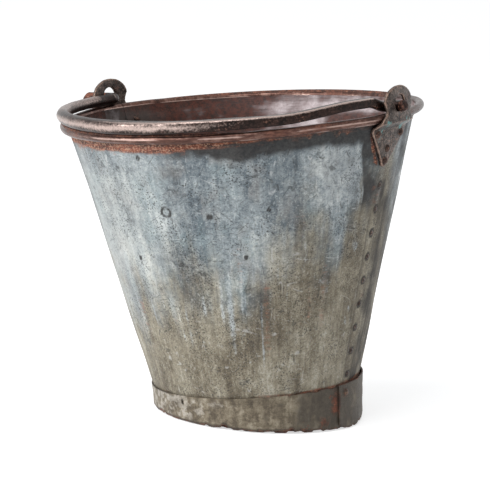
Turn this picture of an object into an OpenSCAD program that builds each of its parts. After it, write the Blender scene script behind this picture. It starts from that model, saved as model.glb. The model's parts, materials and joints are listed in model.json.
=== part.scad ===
// Rusty riveted metal bucket: two lapped half sheets rolled over one rim wire, a bottom plate with a
// turned-down skirt, a foot band, two forged ears and a swinging bail. Millimetres, +Z up, stands on z = 0.
// Every piece is drawn in the bucket's own frame (axis on Z, foot line at z = 0, right ear on +X) and
// then leaned as one, because the worn foot no longer stands square to the body.

/* [Body] */
// radius of the rim wire's centre line
rim_radius = 146.5; // [130:0.5:176]
// height from the foot line to the centre of the rim wire
body_height = 220.5; // [184:0.5:265]
// outer radius of the body at the foot line
foot_radius = 87.6; // [73:0.2:100]
// thickness of the body sheets
sheet = 1; // [0.8:0.05:1.2]
// radius of the wire inside the rolled rim
wire_radius = 2.4; // [2.2:0.05:2.7]
// half of the angle over which the two half sheets lap at each seam
lap_angle = 3; // [2.8:0.1:3.4]
// angle by which the left seam and ear sit behind the line through the right ear and the axis
left_turn = 7; // [0:0.5:8]
// how far the rolled rim stops short of the wall it started from, as an angle
curl_gap = 42; // [30:1:60]

/* [Foot] */
// height of the foot line above the floor, on the axis
foot_height = 30; // [27:0.5:36]
// lean of the body over its worn foot
lean = 7; // [0:0.1:7.5]
// direction of the level line that the lean turns about, from +X
lean_direction = -55.6; // [-90:0.2:0]
// how far the foot draws in for each millimetre down
foot_taper = 0.06; // [0.02:0.01:0.1]
// thickness of the foot band
band_thickness = 1.2; // [1:0.05:1.5]
// how far the worn band ends above the floor
band_lift = 1.5; // [0.5:0.1:3]
// depth of the body's straight collar inside the band
collar_depth = 13; // [12:0.5:15]
// thickness of the bottom plate and its skirt
plate_thickness = 1.2; // [1:0.05:1.5]
// where the band's outer end stops, in front of the right seam
band_end = -8; // [-10:0.5:-7]
// depth of the foot rivets below the foot line
foot_rivet_drop = 7.5; // [6:0.5:8]

/* [Ears] */
// thickness of the ear plates
ear_thickness = 3; // [2.6:0.1:3.4]
// gap between the bail's ends and the top of the rim they cross
hinge_gap = 0.3; // [0.2:0.1:4]
// radius of the eye for the bail
eye_radius = 6.9; // [6.4:0.1:9.6]
// half width of the ear's head
head_radius = 20.6; // [18:0.1:22]
// height of the ear's head above the middle of the eye
head_rise = 14.6; // [14:0.1:19]
// half width of the ear's neck, at the rim
neck = 17.4; // [15:0.1:19]
// half width across the ear's shoulders
shoulder = 25; // [22:0.1:27]
// tilt of the ears' plates, one each way, about their eyes
ear_tilt = 4; // [0:0.5:4.5]
// length of the ear below the hinge line
ear_drop = 49; // [47:0.5:54]
// depth of the two shoulder rivets below the rim wire
shoulder_rivet_drop = 12.9; // [12.7:0.1:15]

/* [Bail] */
// rod radius at the middle of the grip
grip_radius = 5.85; // [5:0.05:6.5]
// rod radius at the hinge ends
end_radius = 4.75; // [4.2:0.05:5.7]
// how far the middle of the grip lies outside the rim wire
bail_overhang = 3; // [1:0.5:5]
// centre line radius of the two bends at the ears
bend_radius = 7; // [6:0.1:8]
// how far the bail is bent up just inside the right ear
bail_kink = 5.5; // [0:0.1:7]
// gap between the resting bail and the rim
rest_gap = 0.3; // [0.2:0.05:0.6]
// length of bail end standing out of the right ear
right_stub = 5; // [3:0.5:30]
// length of bail end standing out of the left ear
left_stub = 26; // [5:0.5:35]

/* [Rivets] */
// shank radius of the seam rivets
seam_shank = 1.3; // [1:0.05:1.5]
// head radius of the seam rivets
seam_head = 2.2; // [1.9:0.05:2.4]
// rivets down each seam
seam_count = 9; // [3:1:9]
// height of the last seam rivet above the foot line
seam_last = 7.3; // [6:0.1:12]
// depth of the first seam rivet below the rim wire
seam_first = 55.6; // [54:0.2:60]
// shank radius of the ear rivets
ear_shank = 2; // [1.8:0.05:2.2]
// head radius of the ear rivets
ear_head = 3.3; // [3:0.05:3.5]
// shank radius of the foot rivets
foot_shank = 1.6; // [1.4:0.05:1.8]
// head radius of the foot rivets
foot_head = 2.8; // [2.4:0.05:3]

/* [Hidden] */
$fn = 96;
play = 0.15;                                        // clearance between sheets that lap or nest
seat = 0.08;                                        // clearance under a rivet head and under the bail
hole_play = 0.1;                                    // clearance of a rivet in its hole
curl_inner = wire_radius + play;
curl_outer = curl_inner + sheet;
rim_top = body_height + curl_outer;
wall_top = rim_radius - curl_inner;                 // outer radius of the wall at the rim
slope = (wall_top - foot_radius)/body_height;
wall_angle = atan(slope);
foot_angle = atan(foot_taper);
layer = sheet + play;                               // step from one body sheet to the next
collar_top = foot_radius - 0.4;
joggle = body_height - 11;                          // the back sheet steps out to the rim above this
below = 60;                                         // the foot is drawn this deep and cut at the floor
hinge_z = rim_top + end_radius + hinge_gap;
ear_face = rim_radius + curl_outer + 0.1;           // inner face of the ear where it passes the rim
hinge_half = ear_face*cos(left_turn/2);             // half the distance between the ears' inner faces
hinge_back = ear_face*sin(left_turn/2);             // how far the hinge line lies behind the axis
bail_reach = hinge_back + rim_radius + bail_overhang;
eye_z = hinge_z + eye_radius - end_radius - seat;   // the bail rests on the bottom of the eye
tip_z = hinge_z - ear_drop;
bend_x = hinge_half - 0.8;                          // the bail's bends start just inside the ears
bail_x = bend_x - bend_radius;
rest_angle = asin((hinge_z - rim_top - grip_radius - rest_gap)/bail_reach);
rivet_angles = [-1.6, 88, 178];                     // foot rivets that are still there
torn_angle = -100;                                  // the one that has torn out
iron = [0.24, 0.2, 0.18];
zinc = [0.5, 0.51, 0.5];
rust = [0.4, 0.25, 0.17];
steel = [0.36, 0.32, 0.3];

// radii of the wall and of the foot at a height
function wall(z) = foot_radius + slope*z;
function foot(z) = collar_top + foot_taper*z;

// the right-hand normal of a step, and a line moved sideways by t with its corners mitred
function side_of(a, b) = [b[1] - a[1], a[0] - b[0]]/norm(b - a);
function beside(line, t) = [for (i = [0:len(line) - 1])
    let (n = side_of(line[max(i - 1, 0)], line[max(i, 1)]),
         m = side_of(line[min(i, len(line) - 2)], line[min(i + 1, len(line) - 1)]))
    line[i] + t*(n + m)/(1 + n*m)];
function reversed(line) = [for (i = [len(line) - 1:-1:0]) line[i]];

// outer faces of the two sheets as [radius, height] lines, from the collar up to the rim
front_line = [[foot(-collar_depth), -collar_depth], [collar_top, 0], [wall(1.6), 1.6],
              [wall_top, body_height]];
inset_line = beside(front_line, -layer);
back_line = [inset_line[0], inset_line[1], inset_line[2],
             [wall(joggle) - layer/cos(wall_angle), joggle], [wall(joggle + 6), joggle + 6],
             [wall_top, body_height]];
skirt_in = 2*layer + 0.1;                           // step from the collar's outer face to the skirt's
plate_rim = collar_top - skirt_in;
plate_line = [[0, 3], [14, 3], [44, 2.4], [68, 1.5], [plate_rim - 3.4, 1], [plate_rim - 1, 0.1],
              [plate_rim, -2], [foot(-below) - skirt_in, -below]];
ear_line = [[wall(tip_z - 4) + play, tip_z - 4], [wall(body_height - 7) + play, body_height - 7],
            [ear_face, body_height - 2.6], [ear_face, hinge_z + 40]];

// a point on the bail's plane, given from the middle of the hinge line, in the bucket's frame
function hinged(p) = let (y = p[1] + hinge_back, c = cos(left_turn/2), s = sin(left_turn/2))
    [p[0]*c + y*s, y*c - p[0]*s, hinge_z];

// a point turned by the lean, and the shift that puts the origin under the middle of the whole
lean_axis = [cos(lean_direction), sin(lean_direction), 0];
function leaned(p) = p*cos(lean) + cross(lean_axis, p)*sin(lean) + lean_axis*(lean_axis*p)*(1 - cos(lean));
stub_ends = leaned(hinged([-hinge_half - ear_thickness - left_stub, 0]))
          + leaned(hinged([hinge_half + ear_thickness + right_stub, 0]));
depth_ends = leaned([0, -rim_radius - bail_overhang - grip_radius, rim_top + grip_radius])
           + leaned([0, rim_radius + curl_outer, body_height]);

// the whole bucket, leaned and set on the floor
module stand() {
    translate([-stub_ends[0]/2, -depth_ends[1]/2, foot_height])
        rotate(a = lean, v = lean_axis)
            children();
}

// stand(), less all that would reach below the given height
module stand_cut(height = 0) {
    difference() {
        stand() children();
        translate([-300, -300, height - 200]) cube([600, 600, 200]);
    }
}

// a sheet turned round the axis from one of its faces, t thick to the right of the line
module shell(line, t, from = 0, sweep = 360) {
    rotate([0, 0, from]) rotate_extrude(angle = sweep, $fn = 180)
        polygon(concat(line, reversed(beside(line, t))));
}

// the sheet's edge rolled outward round the rim wire
module curl(from, sweep) {
    rotate([0, 0, from]) rotate_extrude(angle = sweep, $fn = 180) translate([rim_radius, body_height])
        difference() {
            circle(curl_outer, $fn = 48);
            circle(curl_inner, $fn = 48);
            polygon([[0, 0], 9*[cos(181), sin(181)], 9*[cos(181 + curl_gap), sin(181 + curl_gap)]]);
        }
}

// puts children on a cone at a radius and height, turned to an angle, with +Z along its outward normal
module on_cone(radius, z, cone, turn = 0) {
    rotate([0, 0, turn]) translate([radius, 0, z]) rotate([0, 90 + cone, 0]) children();
}
module on_wall(z, turn = 0) { on_cone(wall(z), z, wall_angle, turn) children(); }
module on_foot(z, turn = 0) { on_cone(foot(z), z, foot_angle, turn) children(); }

// domed head standing on z = 0
module head(r) {
    h = 0.52*r;
    ball = (r*r + h*h)/(2*h);
    translate([0, 0, seat + h - ball]) intersection() {
        sphere(ball, $fn = 40);
        translate([-2*r, -2*r, ball - h]) cube([4*r, 4*r, 2*h]);
    }
}

// rivet through everything between z = -depth and z = height, with a head on each side
module rivet(shank, r, height, depth) {
    translate([0, 0, height]) head(r);
    translate([0, 0, -depth]) mirror([0, 0, 1]) head(r);
    translate([0, 0, -depth - 0.3]) cylinder(r = shank, h = height + depth + 0.6, $fn = 32);
}

// holes for a rivet
module hole(shank) {
    translate([0, 0, -8]) cylinder(r = shank + hole_play, h = 18, $fn = 32);
}

// ear rivets as [side, height] on an upright ear, the first two at its shoulders, and as [turn, height] tilted
shoulder_rivet = shoulder - 8;
upright_rivets = [[-shoulder_rivet, body_height - shoulder_rivet_drop],
                  [shoulder_rivet, body_height - shoulder_rivet_drop], [0, tip_z + 15.5], [0, tip_z + 5.8]];
function ear_rivets(tilt) = [for (p = upright_rivets)
    let (y = p[0]*cos(tilt) - (p[1] - eye_z)*sin(tilt), z = eye_z + p[0]*sin(tilt) + (p[1] - eye_z)*cos(tilt))
    [asin(y/wall(z)), z]];

module at_ear_rivets(tilt) {
    for (p = ear_rivets(tilt)) on_wall(p[1], p[0]) children();
}

module at_seam_rivets() {
    pitch = (body_height - seam_first - seam_last)/(seam_count - 1);
    for (i = [0:seam_count - 1]) on_wall(seam_last + i*pitch) children();
}

module at_foot_holes() {
    for (a = concat(rivet_angles, torn_angle)) on_foot(-foot_rivet_drop, a) children();
}

// what the right side has, on the left
module other_side() { rotate([0, 0, -left_turn]) mirror([1, 0, 0]) children(); }

module side_holes(tilt) {
    at_ear_rivets(tilt) hole(ear_shank);
    at_seam_rivets() hole(seam_shank);
}

// every rivet hole in the body sheets
module sheet_holes() {
    side_holes(-ear_tilt);
    other_side() side_holes(ear_tilt);
    at_foot_holes() hole(foot_shank);
}

// front half of the body, lapped outside the back half at both seams
module front_sheet() {
    color(zinc) stand() difference() {
        union() {
            shell(front_line, -sheet, 180 - left_turn - lap_angle, 180 + left_turn + 2*lap_angle);
            curl(180 - left_turn - lap_angle, 180 + left_turn + 2*lap_angle);
        }
        sheet_holes();
    }
}

// back half; its rolled rim is notched where the front half's rim takes over
module back_sheet() {
    notch = lap_angle + 0.2;
    color(zinc) stand() difference() {
        union() {
            shell(back_line, -sheet, -lap_angle, 180 - left_turn + 2*lap_angle);
            curl(-1, 182 - left_turn);
        }
        for (from = [notch - 12, 180 - left_turn - notch]) rotate([0, 0, from])
            rotate_extrude(angle = 12, $fn = 180)
                translate([rim_radius - 9, joggle - 0.5]) square([20, 30]);
        sheet_holes();
    }
}

// wire inside the rolled rim
module rim_wire() {
    color(iron) stand() rotate_extrude($fn = 180) translate([rim_radius, body_height])
        circle(wire_radius, $fn = 48);
}

// slightly crowned bottom with its edge turned down to the floor
module bottom_plate() {
    color(iron) stand_cut() difference() {
        shell(plate_line, plate_thickness);
        at_foot_holes() hole(foot_shank);
    }
}

// strip bent into a ring, its outer end lapped over its inner end
module foot_band() {
    face = [[foot(-below) + play, -below], [foot(-0.4) + play, -0.4]];
    step = 14;
    color(rust) stand_cut(band_lift) difference() {
        union() {
            shell(face, band_thickness, step, 351);
            shell(beside(face, band_thickness + play), band_thickness, band_end, step - band_end + 0.8);
            shell(beside(face, 0.4*band_thickness), 1.2*band_thickness + play, step + 0.1, 0.6);
        }
        at_foot_holes() hole(foot_shank);
    }
}

// outline of an ear seen from outside: pointed below, shouldered, round above
function ear_half() = concat(
    [for (a = [-90:16:-10]) [4.6*cos(a), tip_z + 4.6 + 4.6*sin(a)]],
    [[shoulder - 1.1, body_height - 13], [shoulder - 0.2, body_height - 9.5], [shoulder, body_height - 7],
     [shoulder - 0.8, body_height - 4.6], [shoulder - 2.8, body_height - 2],
     [neck + 1.4, body_height + 1.2], [neck, body_height + 3.4], [neck + 0.6, body_height + 5.4],
     [head_radius - 0.9, eye_z - 1.6]],
    [for (a = [0:6:90]) [head_radius*cos(a), eye_z + head_rise*sin(a)]]);

// ear for the right side: along the wall, out over the rim, and up to the eye
module ear(tilt) {
    half = ear_half();
    difference() {
        intersection() {
            shell(ear_line, ear_thickness, -18, 36);
            rotate([90, 0, 90]) linear_extrude(220) translate([0, eye_z]) rotate(tilt) translate([0, -eye_z])
                polygon(concat(half, [for (p = reversed(half)) [-p[0], p[1]]]));
        }
        translate([100, 0, eye_z]) rotate([0, 90, 0]) cylinder(r = eye_radius, h = 100);
        at_ear_rivets(tilt) hole(ear_shank);
    }
}

module ear_right() { color(iron) stand() ear(-ear_tilt); }
module ear_left() { color(iron) stand() other_side() ear(ear_tilt); }

// centre line of the bail as [x, y, rod radius, height over the hinge plane]: stub, bend, one bow, bend, stub
bow_y = (bail_reach*bail_reach - bail_x*bail_x - bend_radius*bend_radius)/(2*(bail_reach - bend_radius));
bow_radius = bail_reach - bow_y;
bow_start = asin((bend_radius - bow_y)/bow_radius);
bow_steps = 90;

function rod(t) = end_radius + (grip_radius - end_radius)*pow(sin(90*t), 2);
function eased(x) = let (t = min(max(x, 0), 1)) t*t*(3 - 2*t);
function kink(a) = bail_kink*eased((a - bow_start)/9)*(1 - eased((a - 12)/29));
function bend_at(side, a) = [side*(bend_x - bend_radius*sin(a)), bend_radius*(cos(a) - 1), end_radius, 0];
function bail_path() = concat(
    [[hinge_half + ear_thickness + right_stub, 0, end_radius, 0]],
    [for (a = [0:15:75]) bend_at(1, a)],
    [for (i = [0:bow_steps]) let (a = bow_start + (180 - 2*bow_start)*i/bow_steps)
        [bow_radius*cos(a), -bow_y - bow_radius*sin(a), rod(1 - abs(2*i/bow_steps - 1)), kink(a)]],
    [for (a = [75:-15:0]) bend_at(-1, a)],
    [[-hinge_half - ear_thickness - left_stub, 0, end_radius, 0]]);

// round rod of changing radius along a nearly flat path
module swept_rod(path, sides = 24) {
    last = len(path) - 1;
    points = [for (i = [0:last])
        let (p = path[i], a = path[max(i - 1, 0)], b = path[min(i + 1, last)],
             across = side_of([a[0], a[1]], [b[0], b[1]]))
        for (k = [0:sides - 1]) let (turn = 360*k/sides)
            [p[0] + p[2]*cos(turn)*across[0], p[1] + p[2]*cos(turn)*across[1], p[3] + p[2]*sin(turn)]];
    skin = [for (i = [0:last - 1]) for (k = [0:sides - 1]) let (n = (k + 1)%sides)
        each [[i*sides + k, (i + 1)*sides + k, (i + 1)*sides + n],
              [i*sides + k, (i + 1)*sides + n, i*sides + n]]];
    ends = [[for (k = [0:sides - 1]) k], [for (k = [sides - 1:-1:0]) last*sides + k]];
    polyhedron(points, concat(skin, ends));
}

// bail lying on the front of the rim
module bail() {
    color(steel) stand() rotate([0, 0, -left_turn/2]) translate([0, hinge_back, hinge_z])
        rotate([rest_angle, 0, 0]) swept_rod(bail_path());
}

// four rivets of one ear; the one in front of the lap goes through the front sheet only
module side_rivets(tilt) {
    for (p = ear_rivets(tilt)) on_wall(p[1], p[0])
        rivet(ear_shank, ear_head, play + ear_thickness, p[0] < -lap_angle ? sheet : layer + sheet);
}

module seam_rivets() { at_seam_rivets() rivet(seam_shank, seam_head, 0, layer + sheet); }

module ear_rivets_right() { color(rust) stand() side_rivets(-ear_tilt); }
module ear_rivets_left() { color(rust) stand() other_side() side_rivets(ear_tilt); }
module seam_rivets_right() { color(zinc) stand() seam_rivets(); }
module seam_rivets_left() { color(zinc) stand() other_side() seam_rivets(); }

// the foot rivets still in place; the first goes through both ends of the band
module foot_rivets() {
    once = play + band_thickness;
    color(rust) stand() for (i = [0:len(rivet_angles) - 1]) on_foot(-foot_rivet_drop, rivet_angles[i])
        rivet(foot_shank, foot_head, i == 0 ? 2*once : once, skirt_in + plate_thickness);
}

front_sheet();
back_sheet();
rim_wire();
bottom_plate();
foot_band();
ear_right();
ear_left();
bail();
ear_rivets_right();
ear_rivets_left();
seam_rivets_right();
seam_rivets_left();
foot_rivets();
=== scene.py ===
"""Weathered look of the riveted metal bucket on its CAD frame.

Helpers work in mm in the bucket's own frame: axis on Z, foot line at z = 0, right ear on +X and
left ear LEFT_TURN short of -X. An angle of 0 is the right ear and -90 the middle of the front.
to_world() leans it onto the floor.
"""
import json
import math
import bpy
import numpy as np
from mathutils import Matrix, Vector


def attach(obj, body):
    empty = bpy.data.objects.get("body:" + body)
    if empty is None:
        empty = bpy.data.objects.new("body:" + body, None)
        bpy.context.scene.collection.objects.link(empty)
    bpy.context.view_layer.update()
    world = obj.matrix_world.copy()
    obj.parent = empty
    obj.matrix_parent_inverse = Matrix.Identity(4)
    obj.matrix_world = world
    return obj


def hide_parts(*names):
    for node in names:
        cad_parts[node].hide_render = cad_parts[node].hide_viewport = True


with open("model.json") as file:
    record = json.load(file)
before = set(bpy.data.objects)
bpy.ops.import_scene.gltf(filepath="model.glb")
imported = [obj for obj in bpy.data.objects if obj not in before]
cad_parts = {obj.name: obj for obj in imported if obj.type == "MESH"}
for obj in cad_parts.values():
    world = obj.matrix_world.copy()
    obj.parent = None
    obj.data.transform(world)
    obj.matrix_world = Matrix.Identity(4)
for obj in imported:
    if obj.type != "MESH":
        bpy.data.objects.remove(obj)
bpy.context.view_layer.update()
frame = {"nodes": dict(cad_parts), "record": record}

scene = bpy.context.scene

# sizes shared with the CAD model
RIM_R, RIM_Z, FOOT_R, SHEET = 146.5, 220.5, 87.6, 1.0
CURL_IN, CURL_OUT, CURL_END = 2.55, 3.55, -137
WALL_TOP = RIM_R - CURL_IN
SLOPE = (WALL_TOP - FOOT_R)/RIM_Z
COLLAR_TOP, TAPER, LAYER = FOOT_R - 0.4, 0.06, 1.15
FOOT_H, LEAN, LEAN_DIR = 30.0, math.radians(7), math.radians(-55.6)
EAR_FACE, EAR_T, END_R, GRIP_R, BEND = RIM_R + CURL_OUT + 0.1, 3.0, 4.75, 5.85, 7.0
LEFT_TURN, OVERHANG, RIGHT_STUB, LEFT_STUB, REST_GAP = 7.0, 3.0, 5.0, 26.0, 0.3
HINGE_BACK = EAR_FACE*math.sin(math.radians(LEFT_TURN/2))
REACH = HINGE_BACK + RIM_R + OVERHANG
JOGGLE = RIM_Z - 11                       # above this the back sheet steps out to the rim
COLLAR = 13                               # depth of the sheets' collar inside the foot band
FLARE = 1.6                               # height over which the collar widens to the wall
RIVETS = np.linspace(RIM_Z - 55.6, 7.3, 9)

# radii that turn angles into mm: middle of the wall, foot band, bottom plate
WALL_ARC, FOOT_ARC, PLATE_ARC = 115, 90, 84

# marks on the wall: angle and height of the middle, half width and half height, strength (dents in mm)
DENTS = ((-112, 150, 26, 34, -1.6), (-84, 96, 24, 16, -1.3), (-52, 128, 30, 22, 0.9),
         (-30, 92, 22, 30, -1.4), (-66, 60, 30, 12, -1.1), (-128, 60, 16, 30, 1.0),
         (-22, 176, 20, 22, -0.9), (-98, 196, 22, 12, 0.9), (60, 120, 30, 40, -1.8),
         (112, 80, 26, 24, 1.4), (140, 160, 24, 30, -1.6), (88, 204, 26, 22, -1.4),
         (-85.5, 159, 3.4, 3.4, -0.8), (-69, 155, 1.6, 1.6, -0.5))
SMUDGES = ((-80, 192, 14, 9, 0.55), (-60, 196, 20, 9, 0.5), (-48, 186, 14, 12, 0.35),
           (-96, 186, 12, 16, 0.3), (-70, 176, 16, 8, 0.3), (-84, 158, 5, 5, 0.3),
           (-55, 165, 14, 14, 0.3), (-112, 206, 20, 5, 0.25))
SCUFFS = ((-78, 55, 8, 5, 0.8), (-60, 56, 10, 8, 0.65), (-58, 80, 9, 10, 0.6), (-72, 47, 8, 3, 0.6),
          (-64, 33, 10, 3, 0.5), (-22, 92, 10, 8, 0.6), (-30, 100, 9, 4, 0.55), (-7, 120, 3, 9, 0.7),
          (-6, 66, 2.5, 11, 0.9), (-9, 58, 2.5, 5, 0.7), (-12, 90, 5, 5, 0.4), (-95, 128, 14, 8, 0.35),
          (-110, 92, 8, 16, 0.4), (-8, 30, 3, 6, 0.6), (-109, 196, 9, 9, 0.65), (-99, 188, 5, 9, 0.5))
# runs down the wall: angle, half width in degrees, top, bottom, strength
BROWN_RUNS = ((-36, 2.6, 156, 112, 0.75), (-31, 2, 122, 60, 0.5), (-45, 2, 108, 44, 0.6),
              (-50, 2, 96, 30, 0.6), (-70, 2, 112, 70, 0.4), (-84, 2.4, 120, 84, 0.4),
              (-24, 3, 112, 50, 0.5), (-60, 2, 125, 92, 0.45), (-100, 3, 100, 60, 0.3),
              (-112, 2.4, 84, 30, 0.45), (-92, 2, 70, 22, 0.4), (-16, 2, 80, 20, 0.4))
PALE_RUNS = ((-77, 2.6, 122, 66, 0.85), (-64.5, 2.6, 120, 36, 0.85), (-68.5, 1.2, 100, 60, 0.7),
             (-52, 0.7, 88, 24, 0.95), (-88, 2.4, 128, 96, 0.5), (-58, 2, 130, 84, 0.5),
             (-41, 2, 126, 88, 0.5), (-104, 2.6, 120, 50, 0.45), (-96, 2, 90, 40, 0.4),
             (-73, 1, 60, 36, 0.5), (-47, 1, 70, 40, 0.5), (-28, 1.4, 150, 110, 0.5))
# dark rings and dots: angle, height, radius
RINGS = ((-85.5, 159, 4.0), (-69, 155, 1.6), (-48, 158, 1.0), (-92, 205, 1.2),
         (-57, 120, 0.9), (-104, 118, 1.1))
# how high the olive dirt reaches: angle, height
OLIVE_LINE = ((-180, 95), (-125, 90), (-105, 98), (-88, 114), (-62, 100), (-50, 114), (-38, 140), (-30, 128),
              (-18, 134), (-9, 190), (3, 205), (30, 95), (180, 95))
# pale and rusty places on the foot band, given as for SMUDGES
FOOT_PALE = ((-118, -6, 16, 9, 0.5), (-92, -13, 16, 5, 0.45), (-76, -5, 18, 3.5, 0.5),
             (-30, -4, 12, 3, 0.35))
FOOT_RUST = ((-1.6, -7.5, 8, 8, 0.55), (-10, -14, 7, 14, 0.7), (-20, -30, 14, 8, 0.5), (-100, -6, 5, 4, 0.3),
             (-118, -14, 9, 6, 0.4), (-60, -20, 14, 6, 0.35), (88, -7, 12, 9, 0.8), (178, -7, 12, 9, 0.8),
             (140, -14, 40, 12, 0.5), (40, -20, 40, 12, 0.4))

joint = frame["record"]["behaviour"]["joints"][0]
turn = np.array(Matrix.Rotation(LEAN, 3, Vector((math.cos(LEAN_DIR), math.sin(LEAN_DIR), 0))))
middle_back = HINGE_BACK*np.array([math.sin(math.radians(LEFT_TURN/2)), math.cos(math.radians(LEFT_TURN/2))])
HINGE_Z = (joint["pos_m"][2]*1000 - FOOT_H - turn[2, :2] @ middle_back)/turn[2, 2]
shift = np.array(joint["pos_m"])*1000 - turn @ np.array([*middle_back, HINGE_Z])


def to_world(p):
    return (np.asarray(p, float) @ turn.T + shift)/1000


def to_bucket(p):
    return (np.asarray(p, float)*1000 - shift) @ turn


def polar(radius, angle, z):
    a = np.radians(angle)
    return np.stack([radius*np.cos(a), radius*np.sin(a), z + 0*radius], -1)


def floor_at(radius, angle, height=0.0):
    """z in the bucket's frame of a floor-parallel plane, on the cone of that radius"""
    side = radius*np.sin(np.radians(angle) - LEAN_DIR)*math.sin(LEAN)
    return (height - FOOT_H - side)/math.cos(LEAN)


# ------------------------------------------------------------------ noise and masks
def lattice(ix, iy, seed):
    h = np.sin(ix*127.1 + iy*311.7 + seed*74.7)*43758.5453
    return (h - np.floor(h))*2 - 1


def noise(x, y, seed=0):
    x, y = np.broadcast_arrays(np.asarray(x, float), np.asarray(y, float))
    ix, iy = np.floor(x), np.floor(y)
    fx, fy = x - ix, y - iy
    fx, fy = fx*fx*(3 - 2*fx), fy*fy*(3 - 2*fy)
    low = lattice(ix, iy, seed)*(1 - fx) + lattice(ix + 1, iy, seed)*fx
    high = lattice(ix, iy + 1, seed)*(1 - fx) + lattice(ix + 1, iy + 1, seed)*fx
    return low*(1 - fy) + high*fy


def fbm(x, y, seed=0, octaves=4):
    x, y = np.asarray(x, float), np.asarray(y, float)
    return sum(noise(x*2.03**k + 17*k, y*2.03**k - 9*k, seed + k)*0.5**k for k in range(octaves))/1.6


def smooth(x, low, high):
    t = np.clip((x - low)/(high - low), 0, 1)
    return t*t*(3 - 2*t)


def on_wall(degrees, z):
    """mm round the wall that an angle spans at a height"""
    return degrees*math.pi/180*(FOOT_R + SLOPE*z)


def bump_at(angle, z, a0, z0, wide, tall):
    """1 at the middle of a soft spot, 0 away from it; the width is in mm round the wall"""
    return np.exp(-(on_wall(angle - a0, z)/wide)**2 - ((z - z0)/tall)**2)


def add_spots(mask, spots, angle, z, break_up):
    for a0, z0, wide, tall, strength in spots:
        mask = np.maximum(mask, strength*bump_at(angle, z, a0, z0, wide, tall)*break_up)
    return mask


def add_runs(mask, runs, angle, z, break_up, at_bottom, at_top):
    """at_bottom and at_top are how far below and above its end each run fades"""
    for a0, wide, top, bottom, strength in runs:
        run = np.exp(-((angle - a0)/wide)**2)*smooth(z, bottom - at_bottom[0], bottom + at_bottom[1])
        run = run*(1 - smooth(z, top - at_top[0], top + at_top[1]))
        mask = np.maximum(mask, strength*run*break_up)
    return mask


def wrapped(angle):
    return (np.asarray(angle, float) + 180) % 360 - 180


# ------------------------------------------------------------------ meshes
def add_masks(mesh, masks):
    for key, values in masks.items():
        layer = mesh.attributes.new(key, "FLOAT", "POINT")
        layer.data.foreach_set("value", np.asarray(values, np.float32).ravel())


def add_piece(name, mesh, material, body):
    mesh.polygons.foreach_set("use_smooth", np.ones(len(mesh.polygons), bool))
    mesh.materials.append(material)
    piece = bpy.data.objects.new(name, mesh)
    scene.collection.objects.link(piece)
    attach(piece, body)
    return piece


def add_mesh(name, points, faces, uv, masks, material, body="bucket", sharp=38):
    """sharp is the angle in degrees above which an edge isn't shaded smooth"""
    mesh = bpy.data.meshes.new(name)
    mesh.from_pydata(to_world(points).tolist(), [], faces)
    mesh.update()
    layer = mesh.uv_layers.new(name="UVMap")
    corner = np.empty(len(mesh.loops), np.int32)
    mesh.loops.foreach_get("vertex_index", corner)
    layer.data.foreach_set("uv", (np.asarray(uv, np.float32)/1000)[corner].ravel())
    add_masks(mesh, masks)
    piece = add_piece(name, mesh, material, body)
    mesh.set_sharp_from_angle(angle=math.radians(sharp))
    return piece


def lattice_faces(rows, columns, first=0, loop_columns=False, caps=False):
    """quads over a grid of rows x columns of points; the columns may close into a loop"""
    span = columns if loop_columns else columns - 1
    r, c = np.meshgrid(np.arange(rows - 1), np.arange(span), indexing="ij")
    n = (c + 1) % columns
    quads = np.stack([r*columns + c, r*columns + n, (r + 1)*columns + n, (r + 1)*columns + c], -1)
    faces = (quads.reshape(-1, 4) + first).tolist()
    if caps:
        faces.append([first + k for k in range(columns - 1, -1, -1)])
        faces.append([first + (rows - 1)*columns + k for k in range(columns)])
    return faces


# ------------------------------------------------------------------ shape of the dented body
def seam_fade(angle, width=13.0):
    """0 at the two seams, 1 away from them, so that rivets and ears keep their seats"""
    a = wrapped(angle)
    return smooth(np.minimum(np.abs(a), np.abs(wrapped(a - 180 + LEFT_TURN))), 4.5, width)


def dent(angle, z):
    """how far the wall stands out of round, in mm"""
    a = wrapped(angle)
    arc = np.radians(a)*WALL_ARC
    d = 1.0*fbm(arc/75 + 3, z/85, 3, 3) + 0.28*fbm(arc/22, z/30, 9, 3)
    for a0, z0, wide, tall, deep in DENTS:
        d = d + deep*bump_at(a, z, a0, z0, wide, tall)
    return d*seam_fade(angle)*smooth(z, 3, 26)*(1 - 0.45*smooth(z, 190, 216))


def rim_sag(angle):
    """the rim dips between the ears"""
    a = np.radians(wrapped(angle))
    ripple = 0.3*fbm(wrapped(angle)/14, 0*a, 31, 2)*seam_fade(angle)
    return -2.3*np.sin(a)**2 + 0.9*np.cos(a)*np.abs(np.sin(2*a)) + ripple


def bend_body(radius, angle, z):
    lift = smooth(z, 120, RIM_Z)*rim_sag(angle)
    return polar(radius + dent(angle, np.clip(z, -20, RIM_Z)), angle, z + lift)


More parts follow.
